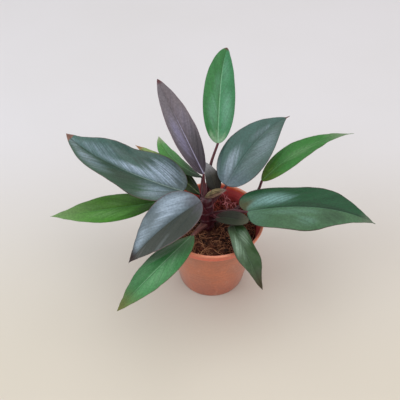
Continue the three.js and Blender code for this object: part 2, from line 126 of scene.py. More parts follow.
# Each leaf's petiole leaves the stem at the height node, passes through dip, if it has one, and
# via, and ends at base, where the blade begins. The midrib sets out along heading and rise, in
# degrees, turns by bend and hook, and droops towards its tip. The blade rolls about the midrib
# and twists along it, and its two halves are raised by fold. widest is where along its length it
# is widest, and a higher round makes both its ends more pointed. lobe is how far the base lobes
# reach back, wave is the height of the waves in the margin, tail is a drip tip, and stalk is the
# petiole's thickness against the usual one.
LEAF_DEFAULTS = dict(
    bend=0, hook=0, roll=0, twist=0, fold=12, round=0.55, lobe=0, skew=0, wave=0, waves=2,
    phase=0, tail=0, stalk=1, dip=None,
)
LEAVES = dict(
    young=dict(
        base=(-0.011, 0.009, 0.165), length=0.119, width=0.036, heading=141, rise=58, droop=8,
        bend=-9, roll=1, twist=3, fold=16, widest=0.44, round=0.63, node=0.126,
        via=(-0.010, 0.008, 0.147),
    ),
    back=dict(
        base=(0.006, 0.048, 0.178), length=0.124, width=0.042, heading=88, rise=47, droop=29,
        bend=-4, hook=-10, roll=-17, twist=-19, fold=6, widest=0.44, round=0.53, node=0.122,
        via=(-0.003, 0.035, 0.152),
    ),
    back_right=dict(
        base=(0.016, 0.011, 0.145), length=0.122, width=0.058, heading=55, rise=35, droop=36,
        bend=-9, hook=-9, roll=-6, twist=-10, fold=16, widest=0.35, round=0.59, lobe=0.004,
        tail=0.004, node=0.119, via=(0.008, 0.008, 0.133),
    ),
    right_high=dict(
        base=(0.059, 0.026, 0.138), length=0.128, width=0.035, heading=34, rise=32, droop=35,
        bend=-12, hook=-12, twist=14, fold=16, widest=0.37, round=0.68, tail=0.004, stalk=1.1,
        node=0.094, dip=(0.024, 0.007, 0.105), via=(0.054, 0.020, 0.127),
    ),
    right_low=dict(
        base=(0.040, -0.014, 0.126), length=0.145, width=0.063, heading=-3, rise=19, droop=27,
        bend=-9, hook=-19, roll=-12, twist=2, fold=9, widest=0.36, round=0.57, lobe=0.024,
        skew=-0.7, wave=0.005, waves=1.61, phase=-0.13, tail=0.002, stalk=1.2, node=0.103,
        via=(0.020, -0.003, 0.116),
    ),
    front_small=dict(
        base=(0.004, -0.015, 0.118), length=0.040, width=0.022, heading=-19, rise=19, droop=16,
        bend=-3, twist=-8, fold=15, widest=0.45, round=0.4, node=0.108,
        via=(0.000, -0.006, 0.112),
    ),
    front_right=dict(
        base=(0.024, -0.024, 0.114), length=0.084, width=0.030, heading=-72, rise=-2, droop=45,
        bend=13, hook=5, roll=7, twist=10, fold=16, widest=0.39, round=0.6, lobe=0.010,
        wave=0.003, waves=1.86, phase=-0.18, node=0.098, via=(0.010, -0.009, 0.107),
    ),
    front_left=dict(
        base=(-0.023, -0.037, 0.112), length=0.127, width=0.046, heading=-125, rise=9, droop=31,
        bend=-10, roll=-19, twist=6, fold=6, widest=0.44, round=0.8, stalk=1.5, node=0.094,
        via=(-0.017, -0.017, 0.099),
    ),
    left_hanging=dict(
        base=(-0.014, -0.031, 0.161), length=0.114, width=0.062, heading=-154, rise=-15,
        droop=43, bend=-3, hook=-12, roll=9, twist=-5, fold=21, widest=0.32, node=0.109,
        via=(-0.012, -0.018, 0.138),
    ),
    left_low=dict(
        base=(-0.064, 0.008, 0.120), length=0.132, width=0.043, heading=189, rise=-2, droop=8,
        bend=-9, roll=3, twist=4, widest=0.41, round=0.85, node=0.100,
        via=(-0.032, 0.005, 0.112),
    ),
    left_high=dict(
        base=(-0.035, 0.007, 0.139), length=0.154, width=0.070, heading=181, rise=24, droop=6,
        bend=-25, hook=-19, roll=12, fold=27, widest=0.35, round=0.51, lobe=0.016, skew=0.3,
        wave=0.005, waves=1.96, phase=-0.16, node=0.112, via=(-0.020, 0.006, 0.128),
    ),
    back_left_small=dict(
        base=(-0.012, 0.034, 0.137), length=0.080, width=0.031, heading=166, rise=19, droop=4,
        bend=-52, hook=-9, roll=-25, twist=3, fold=4, widest=0.43, round=0.74, node=0.115,
        via=(-0.013, 0.020, 0.130),
    ),
    back_left_low=dict(
        base=(-0.015, 0.016, 0.125), length=0.101, width=0.033, heading=147, rise=29, droop=19,
        bend=-1, roll=-7, twist=-5, widest=0.41, round=0.76, node=0.104,
        via=(-0.011, 0.008, 0.115),
    ),
    bud=dict(
        base=(0.005, 0.011, 0.134), length=0.038, width=0.020, heading=120, rise=58, droop=20,
        bend=3, roll=-1, twist=-3, fold=14, widest=0.4, round=0.6, node=0.113,
        via=(-0.001, 0.011, 0.122),
    ),
)
SHEATH = dict(
    base=(-0.009, 0.000, 0.136), length=0.027, width=0.011, heading=8, rise=27, droop=14,
    roll=-25, fold=28, widest=0.45, round=0.75,
)

# How each leaf is coloured. left and right are its two halves, seen from above with the base
# at the bottom; their difference is partly the leaf's own colour and partly painted light and
# shade of the fold. base is the colour they turn into near the petiole: partly the leaf's own,
# and on the darker leaves partly painted shade near the crown. bloom is a paler colour
# that stands partly for the wax's bloom and partly for a painted sheen. sheens
# are soft patches of painted highlight and reflection in that colour: each holds its centre
# along and across the blade, its reach in both, and its strength, where a negative one is a
# patch of painted shade. rib_end is where the pale midrib fades, shade is how dark the painted
# shadow line beside it is, gloss is the weight of the wax's shine and streak is how far the
# painted sheen is broken into streaks. slot is the record's material slot.
LOOK_DEFAULTS = dict(
    base="#2c4a2c", base_share=0.6, base_reach=0.3, bloom="#8b9aa6", sheens=(),
    rib="#8fae86", rib_end=0.95, rib_share=0.5, shade=0.3, margin="#5b3a36", margin_share=0.7,
    tip="#5a3a34", tip_share=0.04, tip_blur=0.035, lobe=None, under="#4a2a30", roughness=0.42,
    gloss=0.2, streak=0.65,
)
LOOKS = dict(
    young=dict(
        slot="leaf_purple", left="#6e676d", right="#70676c", base="#220b1e", base_share=0.95,
        base_reach=0.68, bloom="#9896c2", rib="#b4b0d0", rib_end=0.75, rib_share=0.6,
        margin="#7d5a6c", tip="#5e3c40", tip_share=0.06, under="#5a2a3a", streak=0.4,
        sheens=(
            (0.44, -0.45, 0.34, 0.5, 0.38), (0.55, 0.4, 0.28, 0.6, 0.14),
            (0.26, 0.5, 0.34, 0.8, -0.9),
        ),
    ),
    back=dict(
        slot="leaf_bright", left="#297636", right="#327e4e", base="#8aac8a", base_share=0.8,
        base_reach=0.13, bloom="#86bca8", rib="#8cc09a", rib_share=0.6, margin="#4b5a45",
        margin_share=0.4, under="#5c7a52", streak=0.35,
        sheens=(
            (0.34, 0.45, 0.3, 0.5, 0.35), (0.28, -0.4, 0.25, 0.5, 0.35),
            (0.55, -0.2, 0.2, 0.4, 0.2), (0.75, 0.3, 0.2, 0.5, 0.2),
        ),
    ),
    back_right=dict(
        slot="leaf_blue", left="#2b564e", right="#375850", base="#626e7e", bloom="#98a8b8",
        rib="#6f8480", rib_share=0.2, margin="#4a3038", gloss=0.45, streak=0.6,
        sheens=(
            (0.22, -0.35, 0.26, 0.35, 0.7), (0.16, -0.9, 0.16, 0.3, -0.5),
            (0.3, 0.4, 0.4, 0.5, 0.2), (0.6, 0.5, 0.3, 0.6, 0.3),
            (0.5, -0.3, 0.2, 0.25, -0.35), (0.66, -0.2, 0.2, 0.25, 0.3),
        ),
    ),
    right_high=dict(
        slot="leaf_bright", left="#2c7428", right="#32742e", base="#607a2a", base_share=0.7,
        bloom="#9dbc94", rib="#5fa25c", rib_share=0.4, margin="#5a4a30", under="#5c7a52",
        tip="#748a6a", tip_share=0.32, tip_blur=0.3, gloss=0.1,
        sheens=((0.45, 0.1, 0.3, 0.5, 0.2),),
    ),
    right_low=dict(
        slot="leaf_dark", left="#0a4624", right="#426846", base="#567c68", base_reach=0.22,
        bloom="#8cb6b6", rib="#5f8a70", rib_share=0.3, shade=0.7, margin="#4a2c2a",
        lobe="#4a4420", tip="#5c6a58", tip_share=0.14, tip_blur=0.12, roughness=0.5,
        gloss=0.1, streak=0.4,
        sheens=(
            (0.22, -0.45, 0.24, 0.4, 0.6), (0.55, -0.14, 0.42, 0.16, -0.7),
            (0.35, 0.2, 0.35, 0.25, 0.15), (0.48, 0.6, 0.16, 0.3, 0.15),
            (0.69, 0.4, 0.18, 0.7, -0.8),
        ),
    ),
    front_small=dict(
        slot="leaf_dark", left="#21251a", right="#262f1e", base="#2c1a18", base_reach=0.5,
        rib="#3a4a3a", rib_share=0.3, margin="#3c2c2a", tip="#4c4e3e", tip_share=0.4,
        tip_blur=0.4, roughness=0.6, gloss=0,
    ),
    front_right=dict(
        slot="leaf_dark", left="#2b4b21", right="#3b5535", base="#2a361a", base_share=0.8,
        base_reach=0.13, bloom="#a0bea8", rib="#55705a", rib_share=0.3, margin="#5b3a30",
        tip="#382c14", tip_share=0.38, tip_blur=0.38,
        sheens=((0.34, 0.5, 0.24, 0.6, 0.65), (0.24, -0.4, 0.2, 0.6, 0.45)),
    ),
    front_left=dict(
        slot="leaf_green", left="#3d7e46", right="#2e6c38", base="#486a40", bloom="#8ab890",
        rib="#83b488", shade=0.6, margin="#5a3c2c", tip="#64642c", tip_share=0.28,
        tip_blur=0.3, under="#5c7a52",
        sheens=((0.5, -0.4, 0.4, 0.6, 0.3), (0.55, 0.5, 0.3, 0.5, 0.1)),
    ),
    left_hanging=dict(
        slot="leaf_lilac", left="#2c332c", right="#52626a", base="#504c58", base_reach=0.2,
        bloom="#b2c4d8", rib="#56645e", rib_share=0.15, margin="#6a4a4c", tip="#2a1a17",
        tip_share=0.22, tip_blur=0.14, gloss=0.45,
        sheens=(
            (0.24, 0.5, 0.24, 0.6, 0.62), (0.42, 0.3, 0.2, 0.3, 0.5),
            (0.72, 0.5, 0.2, 0.5, 0.38), (0.52, 0.7, 0.12, 0.4, -0.5),
        ),
    ),
    left_low=dict(
        slot="leaf_green", left="#468626", right="#40721a", base="#1c3c00", base_share=0.9,
        base_reach=0.42, bloom="#a4c894", rib="#5c9a58", rib_share=0.3, margin="#4e5a34",
        margin_share=0.4, tip="#6e8e58", tip_share=0.5, tip_blur=0.5, under="#5c7a52",
        roughness=0.5, gloss=0.05,
        sheens=(
            (0.45, 0.3, 0.3, 0.3, 0.1), (0.5, -0.4, 0.28, 0.5, 0.2),
            (0.2, 0.4, 0.2, 0.6, -0.4),
        ),
    ),
    left_high=dict(
        slot="leaf_blue", left="#244a33", right="#365c54", base="#5c6870", bloom="#a8bcd2",
        rib="#9ab0a4", rib_end=0.6, shade=0.6, margin="#5a4240", tip="#7c5c50",
        tip_share=0.06, tip_blur=0.008, gloss=0.5,
        sheens=(
            (0.19, 0.45, 0.2, 0.6, 1.0), (0.4, 0.16, 0.34, 0.2, 0.9),
            (0.36, 0.6, 0.12, 0.4, -0.75), (0.55, 0.65, 0.16, 0.4, -0.5),
            (0.72, 0.35, 0.22, 0.5, 0.35), (0.22, -0.5, 0.17, 0.6, 0.5),
            (0.5, -0.25, 0.3, 0.4, -0.8), (0.5, -0.6, 0.14, 0.4, -0.7),
            (0.74, -0.5, 0.2, 0.5, 0.4), (0.93, -0.3, 0.14, 0.8, 0.25),
        ),
    ),
    back_left_small=dict(
        slot="leaf_bright", left="#549648", right="#5a9856", base="#18241c", base_share=1.0,
        base_reach=0.85, rib="#6f9a74", margin="#4a5a3c", under="#5c7a52", roughness=0.6,
        gloss=0, tip="#9cae8a", tip_share=0.2, tip_blur=0.2,
    ),
    back_left_low=dict(
        slot="leaf_green", left="#7c9450", right="#8aa45c", base="#0c2404", base_share=1.0,
        base_reach=0.8, rib="#8fa86c", margin="#7a5a3c", tip="#a0744c", tip_share=0.12,
        tip_blur=0.06, under="#5c7a52", gloss=0.1,
    ),
    bud=dict(
        slot="leaf_olive", left="#282924", right="#2f2d26", base="#120a06", base_reach=0.6,
        base_share=0.95, rib="#4a4a3c", rib_share=0.3, margin="#4a3426", tip="#8c8c90",
        tip_share=0.5, tip_blur=0.5, roughness=0.6, gloss=0,
    ),
)

# The leaves whose petioles are old and brown.
OLD_STALKS = ("front_left",)

# What painted shade, as a dark line beside a midrib or a dark patch, multiplies a leaf's colour
# by.
PAINTED_SHADE = (0.4, 0.45, 0.42, 1)

# What the light that comes through the pot's wall multiplies the mix's colour by.
RED_LIGHT = (1.0, 0.5, 0.6, 1)

# What the darker parts of a leaf's mottling multiply its colour by.
MOTTLE = (0.84, 0.84, 0.84, 1)

# How many fine steps a curve has between two of its points, before it is spaced evenly.
SPLINE_STEPS = 60

# The room's light: its even glow, and soft cards by place, aim, size, power and colour.
ROOM_COLOUR = (1.0, 0.97, 0.94, 1)
ROOM_STRENGTH = 0.657
CARDS = dict(
    ceiling=((0.25, 0.3, 2.0), (0, 0.05, 0), (2.5, 2.3), 15, (1, 0.985, 0.98)),
    left_window=((-1.45, -0.42, 0.95), (0, 0, 0.15), (1.0, 1.5), 12, (0.80, 0.91, 1.0)),
    right_window=((1.35, -0.5, 0.85), (0, 0, 0.15), (1.0, 1.2), 4.5, (0.93, 0.92, 1.0)),
)
FLOOR_REACH = 6


def linear(code):
    """An sRGB colour such as "#2f7438", as linear red, green and blue with an alpha of 1."""
    values = [int(code[i:i + 2], 16) / 255 for i in (1, 3, 5)]
    return [v / 12.92 if v <= 0.04045 else ((v + 0.055) / 1.055) ** 2.4 for v in values] + [1.0]


def smoothstep(value, low, high):
    share = np.clip((value - low) / (high - low), 0, 1)
    return share * share * (3 - 2 * share)


# Meshes

def add_object(name, data):
    made = bpy.data.objects.new(name, data)
    bpy.context.scene.collection.objects.link(made)
    return made


def make_object(name, points, faces, layers=None):
    """A smooth mesh object. layers holds vectors by attribute name, one for each point."""
    mesh = bpy.data.meshes.new(name)
    mesh.from_pydata(np.asarray(points).tolist(), [], faces)
    mesh.shade_smooth()
    for layer, values in (layers or {}).items():
        attribute = mesh.attributes.new(layer, "FLOAT_VECTOR", "POINT")
        attribute.data.foreach_set("vector", np.asarray(values, np.float32).ravel())
    return add_object(name, mesh)


def object_from(name, whole):
    """An object made from a bmesh, which it uses up."""
    mesh = bpy.data.meshes.new(name)
    whole.to_mesh(mesh)
    whole.free()
    return add_object(name, mesh)


def grid_faces(rows, columns, start=0, around=False, flip=False):
    """Quads between rows of points. around joins the last column to the first."""
    faces = []
    for i in range(rows - 1):
        for j in range(columns if around else columns - 1):
            near = start + i * columns
            far = near + columns
            k = (j + 1) % columns
            face = (near + j, near + k, far + k, far + j)
            faces.append(face[::-1] if flip else face)
    return faces


def even_turns(sides):
    """The angles of sides spaced evenly round a full turn."""
    return np.linspace(0, math.tau, sides, endpoint=False)


def turned(profile, turns):
    """Rings round the upright axis, one for each pair of radius and height."""
    radius, height = np.array(profile).T[:, :, None]
    return np.stack([radius * np.cos(turns), radius * np.sin(turns), height + 0 * turns], -1)


def closed_rings(rings, start, stop):
    """Points and faces of a closed body: its rings, and a fan to a middle point at each end."""
    count, sides = rings.shape[:2]
    points = np.vstack([rings.reshape(-1, 3), start, stop])
    faces = grid_faces(count, sides, around=True)
    hub = count * sides
    last = hub - sides
    for j in range(sides):
        k = (j + 1) % sides
        faces.append((hub, k, j))
        faces.append((hub + 1, last + j, last + k))
    return points, faces


def tube(centres, rights, ups, outline):
    """Points and faces of a closed tube: rings of points about centres, where outline gives
    each ring's points in its own right and up directions."""
    rings = (
        centres[:, None]
        + outline[:, :, :1] * rights[:, None]
        + outline[:, :, 1:] * ups[:, None]
    )
    return closed_rings(rings, centres[0], centres[-1])


def round_outline(radius, turns):
    """A tube's outline from a radius for each ring, or for each of its points."""
    return np.stack([radius * np.cos(turns), radius * np.sin(turns)], -1)


def between(a, b, low, high, t):
    """The place at t on the line where a is at low and b is at high."""
    return (a * (high - t) + b * (t - low)) / (high - low)


def spline(points, steps):
    """A centripetal Catmull-Rom curve through points, as steps + 1 places spaced evenly."""
    points = [np.array(p, float) for p in points]
    ends = [2 * points[0] - points[1], *points, 2 * points[-1] - points[-2]]
    fine = []
    for p in zip(ends, ends[1:], ends[2:], ends[3:]):
        knots = np.cumsum([0, *(np.linalg.norm(p[k + 1] - p[k]) ** 0.5 for k in range(3))])
        for t in np.linspace(knots[1], knots[2], SPLINE_STEPS, endpoint=False):
            lines = [between(p[k], p[k + 1], knots[k], knots[k + 1], t) for k in range(3)]
            bends = [between(*lines[k:k + 2], knots[k], knots[k + 2], t) for k in range(2)]
            fine.append(between(*bends, knots[1], knots[2], t))
    fine = np.array([*fine, points[-1]])
    lengths = np.linalg.norm(np.diff(fine, axis=0), axis=1)
    travelled = np.concatenate([[0], np.cumsum(lengths)])
    even = np.linspace(0, travelled[-1], steps + 1)
    return np.stack([np.interp(even, travelled, fine[:, k]) for k in range(3)], -1)


def carried_frames(centres, first_right):
    """Right and up directions along a curve, carried from its start with the least turning."""
    forwards = np.gradient(centres, axis=0)
    forwards /= np.linalg.norm(forwards, axis=1, keepdims=True)
    right = np.array(first_right, float)
    rights = []
    for forward in forwards:
        right = right - forward * (right @ forward)
        right = right / np.linalg.norm(right)
        rights.append(right)
    rights = np.array(rights)
    return rights, np.cross(rights, forwards)


def sharpen(made, degrees):
    """Marks the edges that turn by more than an angle as sharp."""
    whole = bmesh.new()
    whole.from_mesh(made.data)
    for edge in whole.edges:
        edge.smooth = edge.calc_face_angle(0) < math.radians(degrees)
    whole.to_mesh(made.data)
    whole.free()


def dress(made, material, slot, *nodes):
    """Gives a piece its material, lets it ride and replaces its CAD nodes. slot is not used."""
    made.data.materials.clear()
    made.data.materials.append(material)
    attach(made, BODY)
    if nodes:
        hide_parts(*nodes)


# Materials

class Value:
    """A number, vector or colour that a node puts out. Numbers have the usual arithmetic."""

    def __init__(self, graph, socket):
        self.graph = graph
        self.socket = socket


OPERATORS = dict(
    __add__="ADD", __sub__="SUBTRACT", __mul__="MULTIPLY", __truediv__="DIVIDE",
    __gt__="GREATER_THAN", __lt__="LESS_THAN", __abs__="ABSOLUTE",
)


def operator(operation):
    return lambda value, other=0.0: value.graph.math(operation, value, other)


for method, operation in OPERATORS.items():
    setattr(Value, method, operator(operation))


class Graph:
    """One material's nodes, built by short calls. An input is a value of the graph or a
    constant, and a colour may be a code."""

    def __init__(self, name):
        self.material = bpy.data.materials.new(name)
        self.material.use_nodes = True
        self.shader = self.material.node_tree.nodes["Principled BSDF"]
        self.where = self.out("TexCoord", output="Object")

    def put(self, socket, value):
        if isinstance(value, Value):
            self.material.node_tree.links.new(value.socket, socket)
        else:
            socket.default_value = value

    def add(self, kind, inputs, settings):
        made = self.material.node_tree.nodes.new("ShaderNode" + kind)
        for key, value in settings.items():
            setattr(made, key, value)
        for socket, value in inputs.items():
            self.put(made.inputs[socket], value)
        return made

    def out(self, kind, inputs=None, output=0, **settings):
        """One output of a new node."""
        return Value(self, self.add(kind, inputs or {}, settings).outputs[output])

    def math(self, operation, a, b=0.0):
        return self.out("Math", {0: a, 1: b}, operation=operation)

    def mix(self, share, a, b, blend="MIX"):
        a = linear(a) if isinstance(a, str) else a
        b = linear(b) if isinstance(b, str) else b
        return self.out("Mix", {0: share, 6: a, 7: b}, 2, data_type="RGBA", blend_type=blend)

    def tinted(self, colour, by):
        """A colour multiplied by another."""
        return self.mix(1.0, colour, by, "MULTIPLY")

    def grey(self, value):
        return self.out("CombineColor", {0: value, 1: value, 2: value})

    def step(self, value, low, high, start=0.0, stop=1.0):
        """A smooth step from start to stop, as a value goes from low to high."""
        inputs = {0: value, 1: low, 2: high, 3: start, 4: stop}
        return self.out("MapRange", inputs, interpolation_type="SMOOTHSTEP")

    def noise(self, scale, detail=3.0, where=None, distortion=0.0):
        """A soft noise round one half, with scale as its features to a metre, or to a unit of
        the place that is given."""
        inputs = {
            "Vector": where or self.where, "Scale": scale, "Detail": detail,
            "Roughness": 0.55, "Distortion": distortion,
        }
        return self.out("TexNoise", inputs)

    def stretched(self, *scales):
        """The coordinates with each axis scaled, for streaks."""
        return self.out("VectorMath", {0: self.where, 1: scales}, operation="MULTIPLY")

    def joined(self, x, y, z=0.0):
        return self.out("CombineXYZ", {0: x, 1: y, 2: z})

    def split(self, vector):
        """A vector's three numbers."""
        return [Value(self, part) for part in self.add("SeparateXYZ", {0: vector}, {}).outputs]

    def attribute(self, name):
        """An attribute's three numbers."""
        return self.split(self.out("Attribute", output="Vector", attribute_name=name))

    def length(self, x, y):
        """The length of a flat vector."""
        flat = self.joined(x, y)
        return self.out("VectorMath", {0: flat}, "Value", operation="LENGTH")

    def layered(self, colour, *layers):
        """A colour under layers, each with the share that it covers and its own colour."""
        for share, tint in layers:
            colour = self.mix(share, colour, tint)
        return colour

    def finish(self, height=None, distance=0.0, **values):
        """Fills in the shader's inputs by name, with a bump, and returns the material."""
        if height is not None:
            values["Normal"] = self.out("Bump", {"Height": height, "Distance": distance})
        for name, value in values.items():
            self.put(self.shader.inputs[name.replace("_", " ")], value)
        return self.material


def leaf_body(g, look, along, across, silk, broad):
    """The colour of a blade's upper face before its lines: two halves whose difference is partly
    painted light and shade of the fold, mottled along the side veins, shading into the base's
    colour, partly painted shade near the crown, under patches of painted sheen, partly standing
    for the wax's bloom, and of painted shade."""
    # The two halves' colours: partly the leaf's own, partly painted light and shade of the fold.
    halves = g.mix(g.step(across, -0.03, 0.03), look.left, look.right)
    mottling = g.step(broad * 0.7 + silk * 0.3, 0.38, 0.6)
    colour = g.mix(mottling, g.tinted(halves, MOTTLE), halves)
    wander = along + (broad - 0.5) * 0.25
    # The base colour near the petiole: partly the leaf's own, on the darker leaves partly
    # painted shade near the crown.
    base = g.step(wander, look.base_reach, 0.0) * look.base_share
    colour = g.mix(base, colour, look.base)
    if look.lobe:
        lobe = g.step(wander, 0.12, 0.02) * g.step(across, -0.25, -0.55) * 0.85
        colour = g.mix(lobe, colour, look.lobe)
    # Painted sheen, partly standing for the wax's bloom, and painted shade, in soft patches
    # broken into streaks.
    streaks = g.step(silk, 0.37, 0.59, 1.0 - look.streak, 1.0)
    for middle, side, reach, spread, strength in look.sheens:
        away = g.length((wander - middle) / reach, (across - side) / spread)
        patch = g.step(away, 1.0, 0.15) * streaks
        other = look.bloom if strength > 0 else g.tinted(colour, PAINTED_SHADE)
        colour = g.mix(patch * abs(strength), colour, other)
    return colour


def leaf_midrib(g, look, along, off_rib, colour):
    """The midrib's pale line, which narrows and fades towards the tip, and a painted shadow line
    on its left, for the shade in the midrib's groove."""
    outside = abs(off_rib) / g.step(along, 0.0, 1.0, *RIB.line_widths)
    fade = g.step(along, look.rib_end, look.rib_end - RIB.line_fade)
    rib = g.step(outside, 1.3, 0.5) * fade
    # A painted shadow line beside the midrib, standing for the shade in its groove.
    beside = g.step(off_rib, -0.0026, -0.0010) * g.step(off_rib, 0.0, -0.0008)
    colour = g.mix(beside * look.shade, colour, g.tinted(colour, PAINTED_SHADE))
    return g.mix(rib * look.rib_share, colour, look.rib)


def leaf_material(name, look):
    """A waxy leaf: body, side veins, midrib, coloured margin and tip, and its underside."""
    g = Graph(name)
    along, across, off_rib = g.attribute("leaf_place")
    phase, under, number = g.attribute("leaf_vein")
    beside = abs(off_rib)
    apart = number + g.math("SIGN", across) * 3.0
    silk = g.noise(1.0, 4, where=g.joined(phase * 1.7, beside * 48.0, apart))
    broad = g.noise(1.0, 2, where=g.joined(phase * 0.38, beside * 26.0, apart))

    # Side veins, staggered on the two halves, with finer ones between them.
    count = phase + (across > 0.0) * 0.5
    vein = g.step(g.math("PINGPONG", count, 0.5), 0.14, 0.02) * g.step(silk, 0.35, 0.65)
    finer = g.step(g.math("PINGPONG", count * VEIN.finer, 0.5), 0.35, 0.1)
    colour = g.layered(
        leaf_body(g, look, along, across, silk, broad),
        (vein * VEIN.share, look.rib), (finer * VEIN.finer_share, look.rib),
    )
    colour = leaf_midrib(g, look, along, off_rib, colour)

    # The underside, where the side veins show more.
    patches = g.step(broad, 0.4, 0.7, 0.0, 0.35)
    below = g.layered(look.under, (vein * VEIN.under_share, look.rib), (patches, look.left))

    # The margin and the tip, both a little ragged, and a fine grain all over.
    margin = g.step(abs(across) + g.noise(150) * 0.03, 0.965, 1.01)
    margin = g.math("MAXIMUM", margin, g.step(along, 0.965, 0.995))
    start = 1.0 - look.tip_share
    tip = g.step(along + (g.noise(220) - 0.5) * 0.03, start, start + look.tip_blur)
    margin = margin * look.margin_share
    colour = g.layered(colour, (under, below), (margin, look.margin), (tip, look.tip))
    grain = g.step(g.noise(430, 4), 0.32, 0.68, 0.85, 1.15)
    rough = g.step(silk, 0.3, 0.7, look.roughness - 0.08, look.roughness + 0.06)
    return g.finish(
        finer * -0.3 + silk * 0.8 + g.noise(700, 2) * 0.4, 0.00009,
        Base_Color=g.tinted(colour, g.grey(grain)), Roughness=rough + tip * 0.2,
        Specular_IOR_Level=0.3, Coat_Weight=g.step(tip, 0.0, 1.0, look.gloss, 0.0),
        Coat_Roughness=0.16,
    )


def stalk_material(name, dark, light, streaks):
    """A satin stalk: two colours in fine streaks along it, with small pale flecks."""
    g = Graph(name)
    along, turn, _ = g.attribute("stalk_place")
    streak = g.step(g.noise(1.0, 3, where=g.joined(turn * streaks, along)), 0.35, 0.65)
    flecks = g.step(g.noise(900, 1), 0.68, 0.76)
    mottle = g.step(g.noise(120, 3), 0.35, 0.7)
    colour = g.layered(dark, (streak, light), (flecks * 0.3, "#9a7a78"), (mottle * 0.35, dark))
    return g.finish(
        streak + g.noise(500) * 0.5, 0.00012, Base_Color=colour, Roughness=0.42,
        Coat_Weight=0.1, Coat_Roughness=0.25,
    )


def pot_zones(g, colour):
    """The pot's colour: darker at its foot, bright on the lip, pale at the rim as a painted
    highlight on its top edge, and redder inside as painted light, where light comes through the
    wall."""
    x, y, z = g.split(g.where)
    lip_foot = POT.height - POT.lip
    low = g.step(z, 0.055, 0.004, 0.0, 0.5)
    lip = g.step(z, lip_foot - 0.0015, lip_foot + 0.0005)
    # A painted highlight on the rim's top edge.
    rim = g.step(z, POT.height - 0.0022, POT.height - 0.0006)
    slope = (pot_inside(POT.height) - pot_inside(0)) / POT.height
    middle_of_wall = z * slope + (pot_inside(0) + POT.wall / 2) + lip * POT.lip_inside_step
    depth = g.step(z, POT.height - 0.0012, POT.height - 0.0055)
    # Painted light inside the pot, for light that comes through its thin wall.
    inside = (g.length(x, y) < middle_of_wall) * depth
    return g.layered(
        colour, (low, "#9a4638"), (lip * 0.9, "#ea5c2a"), (rim * 0.8, "#ee9878"),
        (inside * 0.9, "#c84852"),
    )


def pot_material():
    """Satin terracotta plastic with faint turned lines, scuffs and a little dried mix."""
    g = Graph("terracotta_plastic")
    height = g.split(g.where)[2]
    rings = g.noise(1.0, 4, where=g.stretched(6, 6, 900))
    clouds = g.step(g.noise(28, 3, distortion=0.4), 0.3, 0.7)
    turned_lines = g.step(rings, 0.4, 0.65, 0.0, 0.2)
    scuffs = g.step(g.noise(90, 6, where=g.stretched(1, 1, 0.6)), 0.56, 0.74)
    specks = g.step(g.noise(330, 4), 0.3, 0.7, 0.9, 1.06)
    dust = g.step(g.noise(260, 4), 0.58, 0.7) * g.step(height, 0.03, 0.0, 0.0, 0.5)
    colour = pot_zones(g, g.mix(clouds, "#ac5a36", "#c86c42"))
    colour = g.layered(colour, (turned_lines, "#d08a68"), (scuffs * 0.2, "#cf9f8c"))
    colour = g.mix(dust, g.tinted(colour, g.grey(specks)), "#6a3a28")
    return g.finish(
        rings * 0.7 + g.noise(600) * 0.3, 0.00010, Base_Color=colour,
        Roughness=g.step(clouds, 0.0, 1.0, 0.36, 0.46), Coat_Weight=0.5, Coat_Roughness=0.16,
    )


def lit_through_pot(g, colour):
    """The mix's colour, redder behind the stem, where light comes through the pot's wall."""
    behind = g.step(g.split(g.where)[1], 0.005, 0.03)
    return g.mix(behind, colour, g.tinted(colour, RED_LIGHT))


def soil_material():
    """Damp potting mix: near black with warm crumbs."""
    g = Graph("potting_mix")
    clumps = g.step(g.noise(160, 6), 0.35, 0.68)
    crumbs = g.step(g.noise(700, 4), 0.6, 0.72)
    colour = g.layered("#241311", (clumps, "#5c3429"), (crumbs * 0.7, "#8a543a"))
    return g.finish(
        g.noise(500, 6), 0.0006, Base_Color=lit_through_pot(g, colour), Roughness=0.92,
        Specular_IOR_Level=0.25,
    )


def scrap_material(name, dark, light):
    """Fibres or bark. Each scrap's shade is the first number of its attribute."""
    g = Graph(name)
    shade, _, _ = g.attribute("scrap")
    stains = g.step(g.noise(600, 4), 0.4, 0.7, 0.0, 0.5)
    colour = lit_through_pot(g, g.layered(dark, (shade, light), (stains, dark)))
    return g.finish(
        g.noise(1200, 3), 0.0002, Base_Color=colour, Roughness=0.75, Specular_IOR_Level=0.3,
    )


def sheath_material():
    """A dry papery scale, browner on one side and greyer at its tip, with fibres along it."""
    g = Graph("dry_paper")
    along, across, _ = g.attribute("leaf_place")
    fibres = g.noise(1.0, 5, where=g.joined(across * 9.0, along))
    side = g.step(across, -0.2, 0.3)
    tip = g.step(along, 0.6, 0.95)
    stains = g.step(g.noise(260, 4), 0.52, 0.66) * 0.6
    light = g.layered("#92825c", (side, "#7e5c48"), (tip, "#8e7872"))
    colour = g.layered("#2e2016", (g.step(fibres, 0.4, 0.6), light), (stains, "#33241a"))
    return g.finish(fibres, 0.0004, Base_Color=colour, Roughness=0.7, Specular_IOR_Level=0.35)


def floor_material():
    """A pale floor, a little cooler behind and warmer in front."""
    g = Graph("pale_floor")
    clouds = g.step(g.noise(1.6, 3), 0.3, 0.7)
    behind = g.mix(clouds, "#d9d7d9", "#dddbdf")
    front = g.mix(clouds, "#d0c8b9", "#d5cdbf")
    nearness = g.step(g.split(g.where)[1], 0.35, -0.2)
    return g.finish(Base_Color=g.mix(nearness, behind, front), Roughness=0.55)


# The pot

def pot_inside(z):
    """The radius of the pot's inside at a height, between its floor and its lip."""
    top = POT.rim - POT.step - POT.bead
    return POT.foot + (top - POT.foot) * z / POT.height - POT.wall


